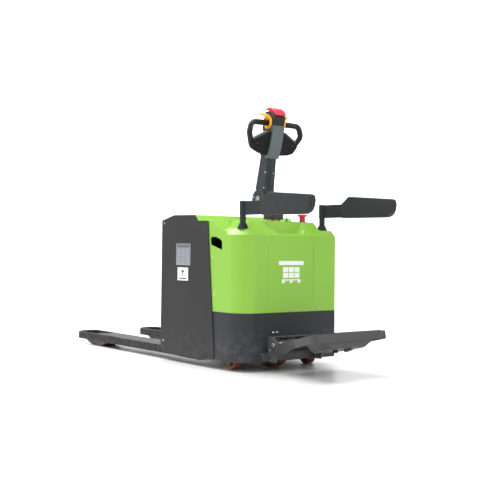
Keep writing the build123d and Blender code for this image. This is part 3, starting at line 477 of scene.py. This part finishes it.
def pressed_cover(node, material, crease_r=0.005, ease=0.0011):
    """The thin moulded cover: its shallow creases turn softly and its cut edges are only broken."""
    shell = merged_copy(node)
    creases = []
    for edge in shell.edges:
        if len(edge.link_faces) == 2 and 14 < math.degrees(edge.calc_face_angle()) < 75:
            creases.append(edge)
    bmesh.ops.bevel(
        shell, geom=creases, offset=crease_r, segments=4, profile=0.5, affect="EDGES", clamp_overlap=True
    )
    mesh = eased(node + "_shape", shell, ease, 2, 60)
    return new_piece(node + "_shape", mesh, material, body_of[node], [node])


# ---------------------------------------------------------------- repeats
def geometry_tree(name, inputs):
    """A Geometry Nodes tree that takes a mesh and these named inputs, and gives back a mesh."""
    tree = bpy.data.node_groups.new(name, "GeometryNodeTree")
    tree.interface.new_socket(name="Geometry", in_out="INPUT", socket_type="NodeSocketGeometry")
    for label, kind, default in inputs:
        socket = tree.interface.new_socket(name=label, in_out="INPUT", socket_type=kind)
        if default is not None:
            socket.default_value = default
    tree.interface.new_socket(name="Geometry", in_out="OUTPUT", socket_type="NodeSocketGeometry")
    return tree, tree.nodes.new("NodeGroupInput"), tree.nodes.new("NodeGroupOutput")


def run_tree(tree, mesh, name, values):
    """The plain mesh that the tree makes from a mesh and its input values."""
    holder = bpy.data.objects.new(name + "_holder", mesh)
    scene.collection.objects.link(holder)
    step = holder.modifiers.new("repeat", "NODES")
    step.node_group = tree
    for item in tree.interface.items_tree:
        if item.in_out == "INPUT" and item.name in values:
            step[item.identifier] = values[item.name]
    result = baked_mesh(holder, name)
    result.shade_smooth()
    result.set_sharp_from_angle(angle=math.radians(35))
    return result


def finish_tree(tree, given, out, instances):
    whole = add(tree, "GeometryNodeRealizeInstances", Geometry=instances)
    painted = add(
        tree, "GeometryNodeSetMaterial", Geometry=whole.outputs[0], Material=given.outputs["Material"]
    )
    tree.links.new(painted.outputs[0], out.inputs["Geometry"])


def screw_tree():
    """A domed socket screw on every point, turned to "facing" and sized by "reach" and "rise"."""
    tree, given, out = geometry_tree(
        "socket_screws",
        [("Material", "NodeSocketMaterial", None), ("Sides", "NodeSocketInt", 28), ("Key Size", NUMBER, 0.5)],
    )
    waist_r, crown_r, waist_z, key_z = 0.94, 0.68, 0.55, 0.95
    low = add(
        tree, "GeometryNodeMeshCone", Vertices=given.outputs["Sides"],
        Radius_Top=waist_r, Radius_Bottom=1.0, Depth=waist_z,
    )
    high = add(
        tree, "GeometryNodeMeshCone", Vertices=given.outputs["Sides"],
        Radius_Top=crown_r, Radius_Bottom=waist_r, Depth=1.0 - waist_z,
    )
    lifted = add(tree, "GeometryNodeTransform", Geometry=high.outputs[0], Translation=(0, 0, waist_z))
    body = add(tree, "GeometryNodeMeshBoolean", {"operation": "UNION"})
    for part in (low, lifted):
        tree.links.new(part.outputs[0], body.inputs["Mesh 2"])
    key = add(
        tree, "GeometryNodeMeshCylinder", Vertices=6, Radius=given.outputs["Key Size"], Depth=1.0
    )
    key_place = add(tree, "GeometryNodeTransform", Geometry=key.outputs[0], Translation=(0, 0, key_z))
    head = add(tree, "GeometryNodeMeshBoolean", {"operation": "DIFFERENCE"}, i0=body.outputs[0])
    tree.links.new(key_place.outputs[0], head.inputs["Mesh 2"])
    facing = add(tree, "GeometryNodeInputNamedAttribute", {"data_type": "FLOAT_VECTOR"}, Name="facing")
    sizes = add(tree, "GeometryNodeInputNamedAttribute", {"data_type": "FLOAT_VECTOR"}, Name="sizes")
    turn = add(tree, "FunctionNodeAlignRotationToVector", {"axis": "Z"}, Vector=facing.outputs[0])
    placed = add(
        tree, "GeometryNodeInstanceOnPoints", Points=given.outputs["Geometry"], Instance=head.outputs[0],
        Rotation=turn.outputs[0], Scale=sizes.outputs[0],
    )
    finish_tree(tree, given, out, placed.outputs[0])
    return tree


def spring_tree():
    """A close-wound wire spring along Z, copied to every point."""
    tree, given, out = geometry_tree(
        "wound_springs",
        [("Material", "NodeSocketMaterial", None), ("Turns", NUMBER, 12.0), ("Length", NUMBER, 0.1),
         ("Coil Radius", NUMBER, 0.01), ("Wire Radius", NUMBER, 0.003)],
    )
    coil = add(
        tree, "GeometryNodeCurveSpiral", Resolution=28, Rotations=given.outputs["Turns"],
        Start_Radius=given.outputs["Coil Radius"], End_Radius=given.outputs["Coil Radius"],
        Height=given.outputs["Length"],
    )
    wire = add(
        tree, "GeometryNodeCurvePrimitiveCircle", Resolution=10, Radius=given.outputs["Wire Radius"]
    )
    tube = add(
        tree, "GeometryNodeCurveToMesh", Curve=coil.outputs[0], Profile_Curve=wire.outputs[0], Fill_Caps=True
    )
    across = add(tree, "FunctionNodeAxisAngleToRotation", Axis=(0, 1, 0), Angle=math.pi / 2)
    placed = add(
        tree, "GeometryNodeInstanceOnPoints", Points=given.outputs["Geometry"], Instance=tube.outputs[0],
        Rotation=across.outputs[0],
    )
    finish_tree(tree, given, out, placed.outputs[0])
    return tree


socket_screws = screw_tree()
wound_springs = spring_tree()


def islands(shell):
    """The separate closed pieces of a bmesh, as lists of faces."""
    left, found = set(shell.faces), []
    while left:
        stack, group = [left.pop()], []
        while stack:
            face = stack.pop()
            group.append(face)
            for edge in face.edges:
                for near in edge.link_faces:
                    if near in left:
                        left.remove(near)
                        stack.append(near)
        found.append(group)
    return found


def rod_facts(group):
    """Base centre, outward direction, radius and height of a rod that stands on a surface."""
    caps = sorted(group, key=lambda face: -len(face.verts))[:2]
    ends = [face.calc_center_median() for face in caps]
    way = (ends[1] - ends[0]).normalized()
    outward = way.x * ends[0].x if abs(way.x) > 0.7 else -way.y
    if outward < 0:
        ends.reverse()
        way = -way
    radius = max((vert.co - face.calc_center_median()).length for face in caps[:1] for vert in face.verts)
    return ends[0], way, radius, (ends[1] - ends[0]).length


def screwed(node, material, special=None):
    """The node's short rods as socket screws; rods longer than they are wide stay plain pins."""
    shell = merged_copy(node)
    groups = {}
    pins = []
    for group in islands(shell):
        base, way, radius, height = rod_facts(group)
        if height > 4 * radius:
            pins.append(group)
            continue
        chosen = special[1] if special and special[0](base, radius) else material
        groups.setdefault(chosen.name, []).append((base, way, radius, height))
    for index, (finish_name, rods) in enumerate(sorted(groups.items())):
        points = bpy.data.meshes.new(f"{node}_points_{index}")
        points.from_pydata([rod[0] for rod in rods], [], [])
        facing = points.attributes.new("facing", "FLOAT_VECTOR", "POINT")
        sizes = points.attributes.new("sizes", "FLOAT_VECTOR", "POINT")
        for spot, (base, way, radius, height) in enumerate(rods):
            facing.data[spot].vector = way
            sizes.data[spot].vector = (radius, radius, height)
        name = f"{node}_heads_{index}"
        chosen = bpy.data.materials[finish_name]
        mesh = run_tree(socket_screws, points, name, {"Material": chosen, "Sides": 28, "Key Size": 0.5})
        new_piece(name, mesh, chosen, body_of[node], [node])
    keep = {face for group in pins for face in group}
    if keep:
        bmesh.ops.delete(shell, geom=[face for face in shell.faces if face not in keep], context="FACES")
        mesh = eased(node + "_pins", shell, 0.0008)
        new_piece(node + "_pins", mesh, fork_paint, body_of[node], [node])
    else:
        shell.free()


# ---------------------------------------------------------------- turned pieces and flat print
def turned(name, profile, centre, body, node, finishes, around=56):
    """A wheel turned about X from a profile of (x, radius, finish) points, closed along its axis."""
    points, faces, slots = [], [], []
    for x, radius, _ in profile:
        for step in range(around):
            angle = 2 * math.pi * step / around
            ring_y = centre[1] + radius * math.cos(angle)
            ring_z = centre[2] + radius * math.sin(angle)
            points.append((centre[0] + x, ring_y, ring_z))
    rings = len(profile)
    for ring in range(rings):
        low, high = ring * around, (ring + 1) % rings * around
        for step in range(around):
            after = (step + 1) % around
            faces.append((low + step, low + after, high + after, high + step))
            slots.append(profile[ring][2])
    mesh = bpy.data.meshes.new(name)
    mesh.from_pydata(points, [], faces)
    mesh.shade_smooth()
    mesh.set_sharp_from_angle(angle=math.radians(32))
    piece = new_piece(name, mesh, finishes, body, [node])
    for face, slot in zip(mesh.polygons, slots):
        face.material_index = slot
    return piece


def wheel_profile(half, radius, bore, hub_r, dish, edge):
    """Half-width, tread radius, bore, hub radius, depth of the dished sides and tread edge radius."""
    tread, hub = 0, 1
    right = [
        (half - dish, bore, hub),
        (half - dish, hub_r * 0.55, hub),
        (half - dish * 1.6, hub_r * 0.62, hub),
        (half - dish * 1.6, hub_r * 0.92, hub),
        (half - dish * 0.4, hub_r, tread),
        (half, hub_r + dish, tread),
        (half, radius - edge, tread),
        (half - edge * 0.3, radius - edge * 0.3, tread),
        (half - edge, radius, tread),
    ]
    left = [(-x, r, f) for x, r, f in reversed(right)]
    left = [(x, r, hub if r < hub_r * 0.99 else tread) for x, r, f in left]
    return right + left


def node_box(node):
    """Low and high corners of a CAD node in the row frame."""
    mesh = frame["nodes"][node]
    corners = [mesh.matrix_world @ Vector(c) for c in mesh.bound_box]
    low = Vector(tuple(min(c[i] for c in corners) for i in range(3)))
    high = Vector(tuple(max(c[i] for c in corners) for i in range(3)))
    return low, high


def turned_wheel(node, bore, hub_share, dish=0.003, edge=0.004):
    low, high = node_box(node)
    centre = (low + high) / 2
    half, radius = (high.x - low.x) / 2, (high.z - low.z) / 2
    profile = wheel_profile(half, radius, bore, radius * hub_share, dish, edge)
    turned(node + "_turned", profile, centre, body_of[node], node, [orange_tread, chassis_black])


def print_on_rear(name, rows, material):
    """Flat print on the rear face, as (x low, x high, z low, z high) rectangles in one mesh."""
    flat_print(name, [((a, body_rear_y - 0.0006, c), (b, body_rear_y - 0.0001, d)) for a, b, c, d in rows],
               material, "chassis")


def flat_print(name, blocks, material, body):
    """Thin raised blocks of print, given by their low and high corners, in one mesh."""
    shell = bmesh.new()
    for low, high in blocks:
        made = bmesh.ops.create_cube(shell, size=1.0)["verts"]
        for vert in made:
            vert.co = Vector([high[i] if vert.co[i] > 0 else low[i] for i in range(3)])
    mesh = bpy.data.meshes.new(name)
    shell.to_mesh(mesh)
    shell.free()
    return new_piece(name, mesh, material, body)


def print_on_left(name, rows, proud, material, lift=0.0):
    """Flat print on the left side plate: (y low, y high, z low, z high), y from the body's rear face."""
    face = -side_x - lift
    blocks = [
        ((face - proud, body_rear_y + a, c), (face, body_rear_y + b, d)) for a, b, c, d in rows
    ]
    flat_print(name, blocks, material, "fork_frame")


# ---------------------------------------------------------------- finishes on the CAD nodes
pressed_cover("rear_cover", green_plastic)
refine("battery_lid", green_plastic, 0.0015, 3)
refine("skirt", skirt_paint, 0.0012)
refine("battery_box", charcoal_paint, 0.0012, 2)
refine("forks", fork_paint, 0.0012, 2)
refine("drive_frame", chassis_black, 0.001)
refine("grab_pockets", shell_plastic, 0.0012)
screwed("chassis_screws", zinc_plate, (lambda base, radius: radius > 0.0085, chrome_plate))
refine("column_bearings", brass_ring, 0.0008)
refine("arm_posts", arm_paint, 0.0012)
refine("post_boots", rib_rubber, 0.001)
refine("platform_bracket", bracket_paint, 0.0012)
refine("hinge_pin", zinc_plate, 0.0015, 3)
refine("switch_bases", shell_plastic, 0.0012)
refine("status_gauge", gauge_glass, 0)
refine("lift_cylinder", chassis_black, 0.0012)
refine("hydraulic_unit", chassis_black, 0.002)
refine("steer_column", slate_paint, 0.0015)
refine("gearbox", cast_iron, 0.002)
refine("drive_motor", chassis_black, 0.001)
refine("tiller_pin", zinc_plate, 0.001)
refine("drive_tyre", orange_tread, 0.001)
refine("drive_hub", cast_iron, 0.001)
refine("tiller_arm", slate_paint, 0.0025, 3)
head_low_z = node_box("head_cover")[0].z
screwed("tiller_screws", zinc_plate, (lambda base, radius: base.z > head_low_z, dark_screw))
housing = moulded("head_housing", shell_plastic)
housing.data.materials.append(web_grey)
block_half = 0.0405
for face in housing.data.polygons:
    if abs(face.center.x) > block_half:
        face.material_index = 1
refine("head_cover", grey_plastic, 0.003, 3)
refine("handle_loops", loop_plastic, 0)
refine("wing_plates", plate_black, 0.0012)
moulded("thumb_wings", yellow_plastic, 0.0012, 8)
moulded("belly_button", red_plastic, 0.0012, 10)
refine("lift_rocker", shell_plastic, 0.001)
refine("horn_button", shell_plastic, 0.001)
refine("estop_knob", red_plastic, 0.001)
refine("ignition_key", zinc_plate, 0.0006)
refine("platform_tray", platform_paint, 0.0012)
refine("platform_arms", platform_paint, 0.0012)
refine("platform_mat", rib_rubber, 0.0006, 1)
refine("guide_shoes", nylon, 0.0008)
refine("battery", shell_plastic, 0.002)
refine("lift_ram", chrome_plate, 0.0008)
screwed("frame_fasteners", zinc_plate)
refine("data_plate", plate_foil, 0.0002, 1)
for word in ("left", "right"):
    refine(f"arm_bracket_{word}", arm_paint, 0.0015)
    moulded(f"arm_pad_{word}", foam_skin, 0.004, 6)
    refine(f"load_arm_{word}", chassis_black, 0.001)
    refine(f"bogie_{word}", chassis_black, 0.001)
    turned_wheel(f"heel_roller_{word}", 0.008, 0.62)
    turned_wheel(f"tip_roller_{word}", 0.008, 0.62)
    refine(f"caster_fork_{word}", chassis_black, 0.0012)
    turned_wheel(f"caster_wheel_{word}", 0.006, 0.7)

# Springs wound on the hinge pin
spring_low, spring_high = node_box("torsion_springs")
spring_middle = (spring_low + spring_high) / 2
spring_r = (spring_high.z - spring_low.z) / 2
wire_r = 0.0035
spring_gap = 0.008
spring_reach = spring_high.x - 2 * wire_r - spring_gap
spring_points = bpy.data.meshes.new("spring_points")
spring_points.from_pydata(
    [(spring_gap + wire_r, spring_middle.y, spring_middle.z),
     (-spring_high.x + wire_r, spring_middle.y, spring_middle.z)], [], []
)
spring_mesh = run_tree(
    wound_springs, spring_points, "torsion_springs_wound",
    {"Material": zinc_plate, "Turns": 17.0, "Length": spring_reach, "Coil Radius": spring_r - wire_r,
     "Wire Radius": wire_r},
)
new_piece(
    "torsion_springs_wound", spring_mesh, zinc_plate, body_of["torsion_springs"], ["torsion_springs"],
)

# Plain pictogram on the rear face: a bar, and boxes stacked on a pallet
box_w, box_h, box_step_x, box_step_z = 0.038, 0.029, 0.043, 0.033
foot_w, foot_z, board_z = 0.022, 0.495, 0.509
boxes = [(-0.093, 0.093, 0.598, 0.621)]
for column in range(3):
    for row in range(2):
        x = -0.062 + column * box_step_x
        z = 0.524 + row * box_step_z
        boxes.append((x, x + box_w, z, z + box_h))
boxes.append((-0.07, 0.07, board_z, 0.516))
for x in (-0.07, -0.011, 0.048):
    boxes.append((x, x + foot_w, foot_z, board_z))
print_on_rear("rear_pictogram", boxes, print_white)

# Ruled plate with no wording, and a plain square sign with an arrow
rule = 0.0012
ink, foil = 0.0003, 0.0005
plate_t = 0.001
line_z, line_step = 0.587, 0.0125
table = [(0.497, 0.637, line_z + line_step * n, line_z + line_step * n + rule) for n in range(1, 9)]
table += [(y, y + rule, 0.5995, 0.687) for y in (0.497, 0.545, 0.592, 0.637 - rule)]
print_on_left("plate_rules", table, ink, print_dark, lift=plate_t)
print_on_left("plate_heading", [(0.499, 0.635, 0.692, 0.711)], ink, print_grey, lift=plate_t)
print_on_left("side_sign", [(0.514, 0.626, 0.495, 0.573)], foil, print_white)
arrow = [(0.566, 0.574, 0.520, 0.552), (0.532, 0.608, 0.504, 0.511)]
arrow += [(0.554 + 0.004 * n, 0.586 - 0.004 * n, 0.545 + 0.004 * n, 0.549 + 0.004 * n) for n in range(4)]
print_on_left("side_sign_arrow", arrow, ink, print_dark, lift=foil)


# ---------------------------------------------------------------- floor and light
def make_stage():
    """A round pale floor that curves up into a wall all the way round."""
    floor_tone = 0.74
    radius, wall, turn_r = 9.0, 7.0, 3.0
    profile = [(0.0, 0.0), (2.0, 0.0), (radius - turn_r, 0.0)]
    steps = 10
    for step in range(1, steps + 1):
        angle = math.pi / 2 * step / steps
        profile.append((radius - turn_r + turn_r * math.sin(angle), turn_r - turn_r * math.cos(angle)))
    profile.append((radius, wall))
    around = 64
    points, faces = [], []
    for ring, (reach, height) in enumerate(profile):
        for step in range(around):
            angle = 2 * math.pi * step / around
            points.append((reach * math.cos(angle), reach * math.sin(angle), height))
    for ring in range(len(profile) - 1):
        for step in range(around):
            after = (step + 1) % around
            low, high = ring * around, (ring + 1) * around
            faces.append((low + step, high + step, high + after, low + after))
    mesh = bpy.data.meshes.new("studio_floor")
    mesh.from_pydata(points, [], faces)
    mesh.shade_smooth()
    floor = bpy.data.objects.new("studio_floor", mesh)
    scene.collection.objects.link(floor)
    material = bpy.data.materials.new("studio_floor")
    material.use_nodes = True
    shader = material.node_tree.nodes["Principled BSDF"]
    shader.inputs["Base Color"].default_value = (floor_tone, floor_tone, floor_tone, 1)
    shader.inputs["Roughness"].default_value = 0.35
    mesh.materials.append(material)


def area_light(name, place, target, size, power):
    """A white rectangular soft box that looks from its place towards the target."""
    data = bpy.data.lights.new(name, "AREA")
    data.shape = "RECTANGLE"
    data.size, data.size_y = size
    data.energy = power
    lamp = bpy.data.objects.new(name, data)
    scene.collection.objects.link(lamp)
    lamp.location = place
    lamp.rotation_euler = (Vector(target) - Vector(place)).to_track_quat("-Z", "Y").to_euler()


make_stage()
area_light("top_softbox", (-0.9, 0.9, 4.4), (0, 0, 0.2), (3.6, 4.6), 400)
area_light("rear_softbox", (0.6, -5.0, 2.9), (0, -0.4, 0.7), (3.5, 2.6), 120)
area_light("left_softbox", (-5.0, -0.6, 2.4), (-0.2, 0, 0.5), (3.0, 2.6), 60)
area_light("backdrop_softbox", (2.2, 3.0, 4.5), (4.6, 8.0, 3.0), (6.0, 3.0), 650)
world = bpy.data.worlds.new("studio")
scene.world = world
world.use_nodes = True
world.node_tree.nodes["Background"].inputs["Color"].default_value = (1, 1, 1, 1)
world.node_tree.nodes["Background"].inputs["Strength"].default_value = 0.42
scene.view_settings.view_transform = "Standard"
